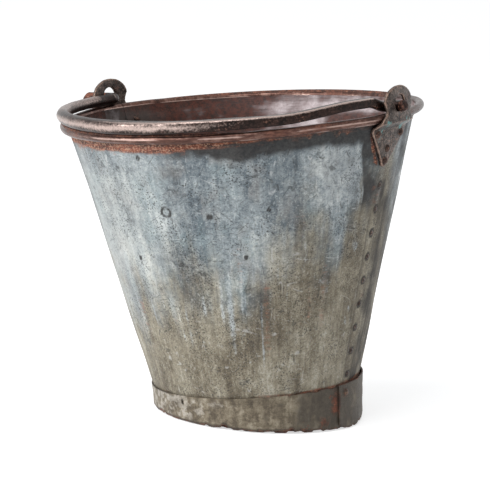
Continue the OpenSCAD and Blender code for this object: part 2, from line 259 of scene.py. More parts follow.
def body_profile(inset):
    """closed outline of a half sheet as radius, z and a mark for the face: 0 outer, 1 rolled rim, 2 inner.
    inset is how far the wall below the rim lies inside the front sheet's."""
    z_out = np.concatenate([[-COLLAR, -9, -5, -1.5], [0], [FLARE], np.linspace(2*FLARE, RIM_Z, 112)])

    def outer(z):
        step = inset*(1 - smooth(z, JOGGLE, JOGGLE + 6))/math.cos(math.atan(SLOPE))
        flare = np.where(z < FLARE, COLLAR_TOP + 0.5*z, FOOT_R + SLOPE*z)
        return np.where(z <= 0, COLLAR_TOP + TAPER*z, flare) - step

    a_in = np.radians(np.linspace(172, CURL_END, 18))
    a_out = np.radians(np.linspace(CURL_END, 178, 40))
    z_in = np.concatenate([np.linspace(RIM_Z, 2*FLARE, 84), [FLARE, 0, -5, -COLLAR]])
    radius = np.concatenate([outer(z_out), RIM_R + CURL_IN*np.cos(a_in), RIM_R + CURL_OUT*np.cos(a_out),
                             outer(z_in) - SHEET*1.03])
    z = np.concatenate([z_out, RIM_Z + CURL_IN*np.sin(a_in), RIM_Z + CURL_OUT*np.sin(a_out), z_in])
    face = np.concatenate([0*z_out, 0*a_in + 1, 0*a_out + 1, 0*z_in + 2])
    return radius, z, face


def paint_body(angle, z, face):
    """0..1 masks over the sheets, broken up again by the shader's finer noise.
    Angles are in degrees, heights and depths in mm."""
    a = wrapped(angle)
    arc = np.radians(a)*WALL_ARC
    rough = fbm(arc/16, z/16, 41, 4)
    fine = fbm(arc/5, z/6, 47, 3)
    finger = fbm(arc/6, z/70, 51, 4)
    below = RIM_Z - z                                     # depth under the rim wire
    outer, rolled, inner = face == 0, face == 1, face == 2
    on_front = smooth(a, -150, -128)*(1 - smooth(a, -4, 2))
    near_right = 1 - smooth(a, 60, 90)

    # rust strip under the rim, widest at the left
    depth = 8.8 + 1.2*rough + 2.4*smooth(a, -128, -112)*(1 - smooth(a, -90, -66)) - 2.2*smooth(a, -82, -50)
    depth = np.where(a > 3, 7 + 2*rough, depth)
    rust = 1 - smooth(below, depth - 3.4, depth + 4.4)
    rust = rust*(1 - 0.55*smooth(a, -70, -44)*(1 - smooth(a, -3, 3)))
    rust = np.maximum(rust, 0.5*(1 - smooth(below, depth + 1, depth + 7))*smooth(fine, 0.0, 0.5))
    rust = add_runs(rust, BROWN_RUNS, a + 1.5*rough, z, 0.85*(0.6 + 0.8*finger), (14, 8), (6, 10))
    rust = np.maximum(rust, 0.26*np.exp(-((a + 1.5)/4.0)**4)*(0.6 + rough)*(below > 20))
    foot_line = 1 - smooth(z, 0.9, 2.2 + 1.4*fine)
    rust = np.maximum(rust, 0.62*foot_line*(0.45 + 0.55*smooth(a, -80, -30)))
    # orange streak down the left edge of the ear
    ear_edge = -9.0 + 6.6*smooth(below, 12, 52)
    streak = np.exp(-((a - ear_edge)/1.1)**2)*smooth(below, 4, 10)*(1 - smooth(below, 34, 46))
    rust = np.maximum(rust, 0.85*streak)

    # dark band under the rim, round the pale patch and beside the ear
    edge = -13.4 + 3.2*smooth(below, 22, 60) + 0.9*rough
    under_rim = smooth(below, 2, 6)*(1 - smooth(below, 8 + 5*rough, 24 + 5*rough))
    dark = (1.35 + 0.3*fine)*smooth(a, -96, -60)*under_rim*(a < 3)
    beside_ear = smooth(a, edge - 0.6, edge + 0.8)*(1 - smooth(a, -2, 2))*(1 - smooth(below, 50, 110))
    strength = 0.62 + 0.3*rough + 0.25*fine + 0.25*(1 - smooth(below, 24, 40))
    dark = np.maximum(dark, beside_ear*strength)
    dark = add_spots(dark, SMUDGES, a + 8*rough, z + 7*fine, 0.4 + smooth(fine, -0.4, 0.5))
    dark = np.maximum(dark, 0.4*smooth(finger + 0.6*rough, 0.3, 0.9)*smooth(a, -92, -64)*on_front)
    dark = np.maximum(dark, 0.5*np.exp(-((a + 3)/1.2)**2)*(below > 40)*on_front)
    dark = np.maximum(dark, 0.24*smooth(a, -66, -36)*smooth(rough + fine, -0.5, 0.6)*on_front)
    # painted shade: a dark line down the left edge of the wall as the camera sees it
    dark = np.maximum(dark, 0.45*np.exp(-((a + 136)/9)**2)*(0.4 + 0.6*smooth(z, 60, 150)))
    for a0, z0, radius in RINGS:
        away = np.hypot(on_wall(a - a0, z), z - z0)
        dark = np.maximum(dark, 1.1*np.exp(-((away - radius)/1.1)**2))
    for z0 in RIVETS:
        away = np.hypot(on_wall(a, z), z - z0)
        dark = np.maximum(dark, 0.9*(1 - smooth(away, 2.9, 4.8 + 0.8*fine))*outer)

    # pale worn zinc: the patch by the ear, runs, scuffs
    patch = smooth(a, -42, -26)*(1 - smooth(a, edge - 1.4, edge - 0.3))*(0.62 + 0.35*rough)
    patch = patch*smooth(below, 11.5 + 3*rough, 13.5 + 3*rough)*(1 - smooth(below, 50, 92))
    patch = add_runs(patch, PALE_RUNS, a + 0.8*rough, z, 0.6 + 0.8*finger, (10, 12), (8, 12))
    patch = add_spots(patch, SCUFFS, a + 5*rough, z + 6*fine, smooth(fine, -0.4, 0.45))
    # painted shade on the back sheet right of the seam, the side turned away from the light
    shade_behind_ear = smooth(a, -1, 3)*(1 - smooth(a, 34, 64))
    dark = np.maximum(dark, (0.5 + 0.45*rough + 0.3*finger)*shade_behind_ear)
    # frosted zinc at the left, painted brighter there as a painted sheen of the light falling from the left
    frost_and_sheen = 1.1*(1 - smooth(a, -106, -74))*smooth(z, 20, 60)*(1 - 0.85*smooth(z, 178, 202))*(a > -150)
    frost_and_sheen = np.maximum(frost_and_sheen, 0.7*bump_at(a, z, -96, 172, 22, 34))

    # olive dirt over the lower body, rising towards the right seam
    line = np.interp(a, *zip(*OLIVE_LINE))
    column = fbm(arc/13, z/150, 53, 3)
    olive = 1 - smooth(z + 26*column + 16*finger + 20*rough + 7*fine, line - 72, line + 46)
    streak = smooth(fbm(arc/3.6, z/70, 57, 3), 0.15, 0.6)*smooth(z, line - 90, line - 50)
    streak = streak*(1 - smooth(z, line - 10, line + 20))
    patch = np.maximum(patch, 0.7*streak*on_front*(0.6 + 0.8*rough))

    # inside: painted shade at the left, low down, over the inside of the front and beside the right ear;
    # maroon rust behind, pinkish bare metal at the right
    inside_shade = 0.9*smooth(a, 100, 160) + 0.6*(1 - smooth(z, 120, 200)) + 0.8*smooth(-a, -3, 28)
    inside_shade = inside_shade + 0.35*rough + 0.2*fine + 0.5*(1 - smooth(np.abs(a), 6, 28))
    in_rust = 0.8*smooth(a, 90, 128)*(1 - smooth(a, 146, 164)) + 0.3*smooth(-a, 0, 40)
    in_rust = in_rust + 1.1*smooth(below, 9, 17)*smooth(a, 44, 58)*(1 - smooth(a, 84, 100))
    in_rust = in_rust + 0.4*smooth(below, 9, 3) + 0.45*rough + 0.25*fine + 0.05
    rust = np.where(inner, in_rust, np.where(rolled, 0.2 + 0.5*rough, rust))
    # dark patches on the bead, and painted shade on the bead right of the ear
    bead_dark_and_shade = 0.35*smooth(rough, 0, 0.5) + 0.7*smooth(a, -8, 6)*near_right
    dark = np.where(inner, inside_shade, np.where(rolled, bead_dark_and_shade, dark))

    # painted highlights: pale lines along the top and the lower lip of the bead, broken up, fewer right of
    # the ear
    over = np.exp(-((z - RIM_Z - 0.2)/0.8)**2)*smooth(fbm(arc/30, 0*arc, 55, 4), -0.7, 0.5)
    under = np.exp(-((z - RIM_Z + 2.9)/0.5)**2)*smooth(fbm(arc/9, 0*arc, 56, 4), -0.2, 0.5)
    bead_glint = np.maximum(0.75*over, 0.8*under)*rolled*(1 - 0.8*smooth(a, -8, 6)*near_right)
    masks = {"rust": rust, "dark": dark, "pale": patch*outer, "frost_and_sheen": frost_and_sheen*outer, "bead_glint": bead_glint,
             "olive": olive*(face < 2), "rim": rolled*1.0, "inside": inner*1.0}
    return {key: np.clip(value, 0, 1) for key, value in masks.items()}


def half_sheet(name, inset, spans, material):
    """spans: (first angle, last angle, whether this stretch has the rolled rim)"""
    points, faces, uv, masks = [], [], [], {}
    for first, last, rolled in spans:
        radius, z, face = body_profile(inset)
        if not rolled:
            keep = (face != 1) & (z < JOGGLE - 0.5)
            radius, z, face = radius[keep], z[keep], face[keep]
        angles = np.linspace(first, last, max(3, int(round((last - first)/0.5)) + 1))
        A, Rr = np.meshgrid(angles, radius, indexing="ij")
        Z, F = np.broadcast_to(z, A.shape), np.broadcast_to(face, A.shape)
        start = sum(len(p) for p in points)
        points.append(bend_body(Rr, A, Z).reshape(-1, 3))
        faces += lattice_faces(len(angles), len(radius), start, loop_columns=True, caps=True)
        slide = np.where(F == 1, np.arctan2(Z - RIM_Z, Rr - RIM_R)*CURL_OUT, 0)
        uv.append(np.stack([np.radians(wrapped(A))*WALL_ARC, Z + slide], -1).reshape(-1, 2))
        for key, value in paint_body(A, Z, F).items():
            masks.setdefault(key, []).append(value.ravel())
    return add_mesh(name, np.concatenate(points), faces, np.concatenate(uv),
                    {k: np.concatenate(v) for k, v in masks.items()}, material)


# ------------------------------------------------------------------ foot
def strip_paint(angle, z, up_from_edge):
    """masks for the foot band; up_from_edge is the height over its ragged lower edge"""
    a = wrapped(angle)
    arc = np.radians(angle)*FOOT_ARC
    rough, fine = fbm(arc/11, z/11, 61, 4), fbm(arc/4, z/4, 67, 3)
    rust = 0.4*(1 - smooth(up_from_edge, 0.8, 3.5 + 2.5*rough))
    rust = add_spots(rust, FOOT_RUST, a, z, 0.8 + 0.6*rough)
    rust = np.maximum(rust, 0.5*(1 - smooth(-z, 0.9, 1.8 + 1.2*fine))*smooth(a, -70, -30))
    dark = np.maximum(0.6*bump_at(a, z, -44, -8, 5, 3), 1.2*smooth(a, -52, -16)*(0.8 + 0.7*rough))
    dark = np.maximum(dark, 0.45*smooth(rough, 0.1, 0.7))
    dark = np.maximum(dark, 0.9*(1 - smooth(up_from_edge, 0.6, 4 + 2*rough)))
    dark = np.maximum(dark, 0.8*(1 - smooth(-z, 0.7, 1.6))*(1 - smooth(a, -118, -96)))
    # the left of the band is painted lighter, a painted light as on the wall above it
    pale = 0.7*(1 - smooth(a, -110, -70))
    for a0, z0, wide, tall, strength in FOOT_PALE:
        pale = pale + strength*bump_at(a, z, a0, z0, wide, tall)
    pale = pale*smooth(fine, -0.4, 0.3)
    return {key: np.clip(value, 0, 1) for key, value in (("rust", rust), ("dark", dark), ("pale", pale))}


def foot_band(material):
    """the worn band; its ends lap at the right seam, and a foot rivet has torn out of it"""
    start, lap_from, lap_to, end = -8, 13.5, 15.5, 365      # the ends and the step between the layers
    thick, layer_step = 1.2, 1.35
    rows_out, rows_in = 34, 16
    torn_angle, torn_z, mm_per_degree = 260, -5.8, 1.57
    angles = np.linspace(start, end, 900)
    rows = np.concatenate([np.linspace(0, 1, rows_out), np.linspace(1, 0, rows_in)])
    outer = np.arange(len(rows)) < rows_out
    A, V = np.meshgrid(angles, rows, indexing="ij")
    layer_out = layer_step*(1 - smooth(A, lap_from, lap_to))
    a = wrapped(A)
    arc = np.radians(A)*FOOT_ARC
    flat = 0*arc
    chipped = smooth(fbm(arc/5, flat, 71, 3), 0.05, 0.5)*smooth(a, -80, -30)*(1 - smooth(a, -9, -6))
    top = -0.5 - 1.3*chipped
    lift = 1.8 + 1.3*fbm(arc/16, flat, 73, 3) + 0.7*fbm(arc/4, flat, 75, 2)
    lift = lift + 3.4*np.exp(-((A - start)/2.6)**2) + 1.8*np.exp(-((a - 14)/3)**2)
    lift = lift + 2*smooth(fbm(arc/9, flat, 77, 3), 0.3, 0.7)
    bottom = floor_at(FOOT_ARC, A, np.maximum(lift - 1.2*(1 - smooth(a, -90, -60)), 0.7))
    Z = top + (bottom - top)*V
    wave = 0.5*np.abs(fbm(arc/20, Z/16, 79, 3)) + 0.9*smooth(V, 0.7, 1)*np.abs(fbm(arc/9, flat, 81, 2))
    wave = wave*smooth(np.abs(wrapped(A + 1.6)), 2.5, 6)
    face = np.where(outer, thick - 0.3*smooth(V, 0.93, 1), 0.05)
    R = COLLAR_TOP + TAPER*Z + 0.15 + layer_out + wave + face
    faces = lattice_faces(len(angles), len(rows), 0, loop_columns=True, caps=True)
    across = (A - torn_angle)*mm_per_degree + 0.35*fbm(A*9, Z*2, 83, 2)
    up = (Z - torn_z)/1.5 + 0.3*noise(A*4, Z, 85)
    hole = (np.hypot(across, up) < 1.9).ravel()
    faces = [f for f in faces if len(f) > 4 or not all(hole[k] for k in f)]
    masks = strip_paint(A, Z, Z - bottom)
    return add_mesh("foot_band_worn", polar(R, A, Z).reshape(-1, 3), faces,
                    np.stack([arc + 700, Z], -1).reshape(-1, 2),
                    masks, material)


def bottom_plate(material):
    """crowned disc whose edge is turned down to the floor"""
    thick, skirt_rows, turns = 1.2, 13, 541
    rim = COLLAR_TOP - 2*LAYER - 0.1
    line = [(0.5, 3), (14, 3), (44, 2.4), (68, 1.5), (rim - 3.4, 1), (rim - 1, 0.1)]
    skirt_top, skirt_end = -2, -3.6
    pick = np.linspace(0, len(line) - 1, 34)
    r_top = np.concatenate([np.interp(pick, range(len(line)), [p[0] for p in line]), [rim]])
    z_top = np.concatenate([np.interp(pick, range(len(line)), [p[1] for p in line]), [skirt_top]])
    n = len(r_top)
    columns = 2*n + 2*skirt_rows
    angles = np.linspace(-180, 180, turns)
    down = np.linspace(0, 1, skirt_rows + 1)[1:]
    A = np.repeat(angles[:, None], columns, 1)
    arc = np.radians(angles)*PLATE_ARC
    ragged = 1.5*smooth(fbm(arc/8, 0*arc, 87, 3), 0.05, 0.55)
    ends = floor_at(rim - 1.8, angles, ragged + 0.15)[:, None]
    Z = np.concatenate([np.tile(z_top, (turns, 1)), skirt_top + (ends - skirt_top)*down,
                        ends + (skirt_end - ends)*down, np.tile(z_top[::-1] - thick - 0.05, (turns, 1))], 1)

    def skirt(z):
        return rim + TAPER*(z - skirt_top)

    under = np.concatenate([[rim - thick], r_top[:-1][::-1] - 0.4])
    R = np.concatenate([np.tile(r_top, (turns, 1)), skirt(Z[:, n:n + skirt_rows]),
                        skirt(Z[:, n + skirt_rows:-n]) - thick, np.tile(under, (turns, 1))], 1)
    column = np.arange(columns)
    flat = (column < n) | (column >= columns - n)
    x, y = R*np.cos(np.radians(A)), R*np.sin(np.radians(A))
    sunk = 0.8*np.abs(fbm(x/60, y/60, 89, 3))*smooth(R, 3, 20)*(1 - smooth(R, 60, 80))
    Z = Z - np.where(flat, sunk, 0)
    rust = 0.55 + 0.6*fbm(x/18, y/18, 91, 4) + 0.3*(~flat)
    uv = np.where(flat[None, :, None], np.stack([x, y], -1), np.stack([np.radians(A)*PLATE_ARC, Z], -1))
    return add_mesh("bottom_plate_worn", polar(R, A, Z).reshape(-1, 3), lattice_faces(turns, columns),
                    uv.reshape(-1, 2), {"rust": np.clip(rust, 0, 1)}, material)


# ------------------------------------------------------------------ bail
def bail(material):
    """the forged bail as a tube along stub, bend, bow, bend and stub; drawn flat, then tipped to its rest"""
    face_x = EAR_FACE*math.cos(math.radians(LEFT_TURN/2))
    bend_x = face_x - 0.8
    leg = bend_x - BEND
    bow_y = (REACH**2 - leg**2 - BEND**2)/(2*(REACH - BEND))
    bow_r = REACH - bow_y
    start = math.degrees(math.asin((BEND - bow_y)/bow_r))
    right, left = face_x + EAR_T + RIGHT_STUB, face_x + EAR_T + LEFT_STUB
    bow_rows, left_rows, sides = 420, 40, 40
    bow = np.linspace(start, 180 - start, bow_rows)
    path = [(x, 0) for x in np.linspace(right, bend_x + 0.5, 12)]
    path += [(bend_x - BEND*math.sin(b), BEND*(math.cos(b) - 1)) for b in np.radians(np.arange(0, 84, 6))]
    before_bow = len(path)
    path += [(bow_r*math.cos(b), -bow_y - bow_r*math.sin(b)) for b in np.radians(bow)]
    path += [(-bend_x + BEND*math.sin(b), BEND*(math.cos(b) - 1)) for b in np.radians(np.arange(78, -1, -6))]
    path += [(x, 0) for x in np.linspace(-bend_x - 0.5, -left, left_rows)]
    path = np.array(path)
    rows = len(path)

    # two angles along the rod: round the bucket, 0 at the right ear and 180 at the left, and round the bow
    turn_at = np.degrees(np.arctan2(-path[:, 1], path[:, 0]))
    turn_at = np.where(np.abs(path[:, 0]) > leg, np.where(path[:, 0] > 0, 0, 180), turn_at)
    after_bow = np.full(rows - before_bow - bow_rows, 180 - start)
    bow_angle = np.concatenate([np.full(before_bow, start), bow, after_bow])
    t = (bow_angle - start)/(180 - 2*start)
    size = END_R + (GRIP_R - END_R)*np.sin(math.pi/2*(1 - np.abs(2*t - 1)))**2
    length = np.concatenate([[0], np.cumsum(np.hypot(*np.diff(path, axis=0).T))])
    size = size*(1 + 0.022*fbm(length/9, 0*length, 101, 3)) - 0.12

    # the kink beside the right ear, and the sag in the middle of the front
    rise = 5.5*smooth(bow_angle, start, start + 9)*(1 - smooth(bow_angle, 12, 41))
    sag = np.sin(np.radians(turn_at))**6*smooth(turn_at, 38, 70)*(1 - smooth(turn_at, 140, 165))
    rise = (rise - 2.1*sag)[:, None]
    along = np.gradient(path, axis=0)
    along /= np.linalg.norm(along, axis=1)[:, None]
    across = np.stack([along[:, 1], -along[:, 0]], -1)

    # forged nearly square beside the right ear, round at the worn left
    ring = np.radians(np.arange(sides)*360/sides)
    power = 2 + 2.6*(1 - smooth(turn_at, 60, 125))*smooth(turn_at, 0.5, 3) + 1.0*(turn_at < 1)
    power = power[:, None]
    twist = np.radians(9*fbm(length/40, 0*length, 103, 2) + 6)
    angle = ring[None, :] + 0*size[:, None]
    c, s = np.cos(angle - twist[:, None]), np.sin(angle - twist[:, None])
    shape = (np.abs(c)**power + np.abs(s)**power)**(-1/power)/(1 + 0.09*(power - 2))
    hammer = 1 + 0.018*fbm(length[:, None]/5 + 0*angle, np.cos(angle)*3, 105, 3)
    rod = size[:, None]*np.minimum(shape*hammer, 1.04)
    tip = smooth(length, 0, 1.2)*smooth(length[-1] - length, 0, 1.5)
    rod = rod*(0.8 + 0.2*tip[:, None])
    # the left end is cut at a slant
    slant = np.zeros((rows, 1))
    slant[-left_rows:, 0] = np.linspace(0, 1, left_rows)**3
    X = path[:, 0, None] + rod*np.cos(ring)*across[:, 0, None] + 2.4*slant*(1 + np.sin(ring + 0.4))
    Y = path[:, 1, None] + rod*np.cos(ring)*across[:, 1, None]
    Z = rise + rod*np.sin(ring)

    # from the hinge line down onto the rim, then into the bucket's frame
    rest = math.asin((HINGE_Z - RIM_Z - CURL_OUT - GRIP_R - REST_GAP)/REACH)
    half = math.radians(LEFT_TURN/2)
    back = Y*math.cos(rest) - Z*math.sin(rest) + HINGE_BACK
    up = Y*math.sin(rest) + Z*math.cos(rest) + HINGE_Z
    points = np.stack([X*math.cos(half) + back*math.sin(half),
                       back*math.cos(half) - X*math.sin(half), up], -1)

    # rubbed bright on top, most at the front and left, with painted highlights: a band facing the camera at
    # the front and a thin line along the top at the right; rusty outside the ears
    facing_up = np.sin(ring)[None, :] + 0*rod
    blotch = fbm(length[:, None]/12 + 0*rod, np.cos(ring)*1.5 + 0*rod, 107, 4)
    T = turn_at[:, None] + 0*rod
    front = smooth(T, 48, 82)*(1 - smooth(T, 132, 150))*np.exp(-((facing_up - 0.02 - 0.25*blotch)/0.52)**2)
    left_side = smooth(T, 120, 140)*(1 - smooth(T, 179, 179.6))*smooth(facing_up + 0.4*blotch, -0.6, 0.9)
    right_side = (1 - smooth(T, 80, 110))*np.exp(-((facing_up - 0.74)/0.17)**2)*(T > 4)
    polish_and_glint = np.maximum(np.maximum(0.8*front, 0.5*left_side), 0.95*right_side)
    outside = np.abs(path[:, 0, None]) > face_x + EAR_T
    rust = np.where(outside, 0.55 + 0.4*blotch, 0.1 + 0.4*blotch)*(1 - 0.8*polish_and_glint)
    uv = np.stack([length[:, None] + 0*rod, np.degrees(angle)*0.09], -1)
    masks = {"rust": np.clip(rust, 0, 1), "polish_and_glint": np.clip(polish_and_glint, 0, 1)}
    faces = lattice_faces(rows, sides, 0, loop_columns=True, caps=True)
    return add_mesh("bail_forged", points.reshape(-1, 3), faces, uv.reshape(-1, 2), masks, material,
                    "bail", 50)


# ------------------------------------------------------------------ ears
def worn_ear(node, material, seed):
    """the CAD ear with its forged edges rounded and pitted"""
    copy = frame["nodes"][node].copy()
    copy.data = copy.data.copy()
    scene.collection.objects.link(copy)
    soften = copy.modifiers.new("remesh", "REMESH")
    soften.mode, soften.voxel_size = "VOXEL", 0.0006
    ready = copy.evaluated_get(bpy.context.evaluated_depsgraph_get())
    mesh = bpy.data.meshes.new_from_object(ready)
    bpy.data.objects.remove(copy)
    count = len(mesh.vertices)
    points = np.empty(count*3, np.float32)
    mesh.vertices.foreach_get("co", points)
    points = points.reshape(-1, 3).astype(float)
    ends = np.empty(len(mesh.edges)*2, np.int32)
    mesh.edges.foreach_get("vertices", ends)
    a, b = ends[::2], ends[1::2]
    degree = np.bincount(a, minlength=count) + np.bincount(b, minlength=count)

    # smooth every point towards its neighbours; what moves most is an edge
    start = points.copy()
    for _ in range(10):
        total = np.stack([np.bincount(a, points[b, k], count) + np.bincount(b, points[a, k], count)
                          for k in range(3)], -1)
        points = points*0.45 + 0.55*total/degree[:, None]
    worn = np.linalg.norm(points - start, axis=1)*1000
    normals = np.empty(count*3, np.float32)
    mesh.vertices.foreach_get("normal", normals)
    x, y, z = to_bucket(points).T
    if node == "ear_left":
        y = math.sin(math.radians(LEFT_TURN))*x + math.cos(math.radians(LEFT_TURN))*y
    pits = fbm(y/5 + seed, z/5, 111 + seed, 4)
    points += normals.reshape(-1, 3)*((0.16*pits - 0.05)/1000)[:, None]
    mesh.vertices.foreach_set("co", points.ravel())

    side = y*(1 if node == "ear_right" else -1)
    spots = np.maximum(np.exp(-((side + 17)/4)**2 - ((z - 211)/9)**2),
                       np.exp(-((side - 10)/5)**2 - ((z - 214)/6)**2))
    masks = {"edge": 0.8*worn/0.35 + 0.35*fbm(y/3, z/3, 119, 3),
             "paint": smooth(fbm(y/2.2, z/3.4, 115, 3), 0.02, 0.2)*spots,
             "rust": 0.12 + 0.45*fbm(y/8, z/8, 117 + seed, 3) + 0.4*smooth(-z, -196, -184)}
    add_masks(mesh, {key: np.clip(value, 0, 1) for key, value in masks.items()})
    mesh.materials.clear()
    return add_piece(node + "_worn", mesh, material, "bucket")


# ------------------------------------------------------------------ materials
def rgb(r, g, b):
    """linear colour from display values of 0 to 255"""
    return tuple(c/255/12.92 if c <= 10 else ((c/255 + 0.055)/1.055)**2.4 for c in (r, g, b)) + (1.0,)


class Shader:
    """one node material, written as small expressions"""
    def __init__(self, name, by_uv=True):
        self.material = bpy.data.materials.new(name)
        self.material.use_nodes = True
        self.tree = self.material.node_tree
        self.surface = self.tree.nodes["Principled BSDF"]
        self.where = self.tree.nodes.new("ShaderNodeTexCoord").outputs["UV" if by_uv else "Object"]

    def node(self, kind, inputs, out=0, **settings):
        made = self.tree.nodes.new(kind)
        for key, value in settings.items():
            setattr(made, key, value)
        for key, value in inputs.items():
            self.feed(made.inputs[key], value)
        return made.outputs[out]

    def feed(self, socket, value):
        if isinstance(value, bpy.types.NodeSocket):
            self.tree.links.new(value, socket)
        else:
            socket.default_value = value

    def attr(self, name):
        return self.node("ShaderNodeAttribute", {}, 2, attribute_name=name)

    def math(self, how, a, b=0.0):
        return self.node("ShaderNodeMath", {0: a, 1: b}, operation=how)

    def times(self, a, b):
        return self.math("MULTIPLY", a, b)

    def mix(self, factor, a, b):
        """a colour between a and b"""
        return self.node("ShaderNodeMix", {0: factor, 6: a, 7: b}, 2, data_type="RGBA")

    def cover(self, mask, amount, under, over):
        """colour under, covered by over where the mask is, up to the amount"""
        return self.mix(self.times(mask, amount), under, over)

    def lerp(self, factor, a, b):
        """a number between a and b"""
        return self.node("ShaderNodeMix", {0: factor, 2: a, 3: b}, 0)

    def step(self, x, low, high):
        return self.node("ShaderNodeMapRange", {0: x, 1: low, 2: high}, interpolation_type="SMOOTHSTEP")

    def noise(self, size, detail=4.0, stretch=(1, 1, 1), shift=0.0, rough=0.55):
        """noise whose features are about size mm across, longer where stretch is under 1"""
        spot = self.node("ShaderNodeMapping", {"Vector": self.where, "Scale": stretch,
                                               "Location": (shift, shift*0.7, shift*0.3)})
        return self.node("ShaderNodeTexNoise", {"Vector": spot, "Scale": 1000/size, "Detail": detail,
                                                "Roughness": rough})

    def total(self, *terms, base=0.5):
        """base plus each (noise, weight); a plain noise counts from its middle, a mask from 0"""
        out = base
        for value, weight in terms:
            is_mask = value.node.type == "ATTRIBUTE"
            part = value if is_mask else self.math("SUBTRACT", value, 0.5)
            out = self.math("ADD", out, self.times(part, weight))
        return out

    def mask_of(self, name, low, high, *terms):
        """a painted mask broken up by noises: 0 where the sum is under low, 1 over high"""
        return self.step(self.total((self.attr(name), 1.0), *terms, base=0.0), low, high)

    def ramp(self, factor, *stops):
        made = self.tree.nodes.new("ShaderNodeValToRGB")
        self.feed(made.inputs[0], factor)
        for k, (place, color) in enumerate(stops):
            spot = made.color_ramp.elements[k] if k < 2 else made.color_ramp.elements.new(place)
            spot.position, spot.color = place, color
        return made.outputs[0]

    def edge_of(self, mask, grain, width=0.12, amount=0.9):
        """a mask whose border is broken up by grain"""
        x = self.math("ADD", mask, self.times(self.math("SUBTRACT", grain, 0.5), amount))
        return self.step(x, 0.5 - width, 0.5 + width)

    def scratches(self, size, length, angle, shift, width):
        """hairlines, length times longer than their spacing, leaning by angle from the vertical"""
        spot = self.node("ShaderNodeMapping",
                         {"Vector": self.where, "Scale": (1, length, 1), "Rotation": (0, 0, angle),
                          "Location": (shift, shift*0.7, 0)}, vector_type="TEXTURE")
        grain = self.node("ShaderNodeTexNoise", {"Vector": spot, "Scale": 1000/size, "Detail": 2.0})
        line = self.math("ABSOLUTE", self.math("SUBTRACT", grain, 0.5))
        return self.math("SUBTRACT", 1.0, self.step(line, width*0.3, width))

    def done(self, color, rough, metal, height=None, depth=0.0004):
        self.feed(self.surface.inputs["Base Color"], color)
        self.feed(self.surface.inputs["Roughness"], rough)
        self.feed(self.surface.inputs["Metallic"], metal)
        if height is not None:
            self.feed(self.surface.inputs["Normal"],
                      self.node("ShaderNodeBump", {"Height": height, "Distance": depth, "Strength": 1.0}))
        return self.material


def rust_color(s, grain, fine):
    tone = s.mix(s.step(grain, 0.38, 0.62), rgb(76, 40, 29), rgb(156, 92, 68))
    tone = s.mix(s.step(fine, 0.56, 0.68), tone, rgb(212, 158, 128))
    return s.mix(s.step(fine, 0.44, 0.34), tone, rgb(52, 34, 28))


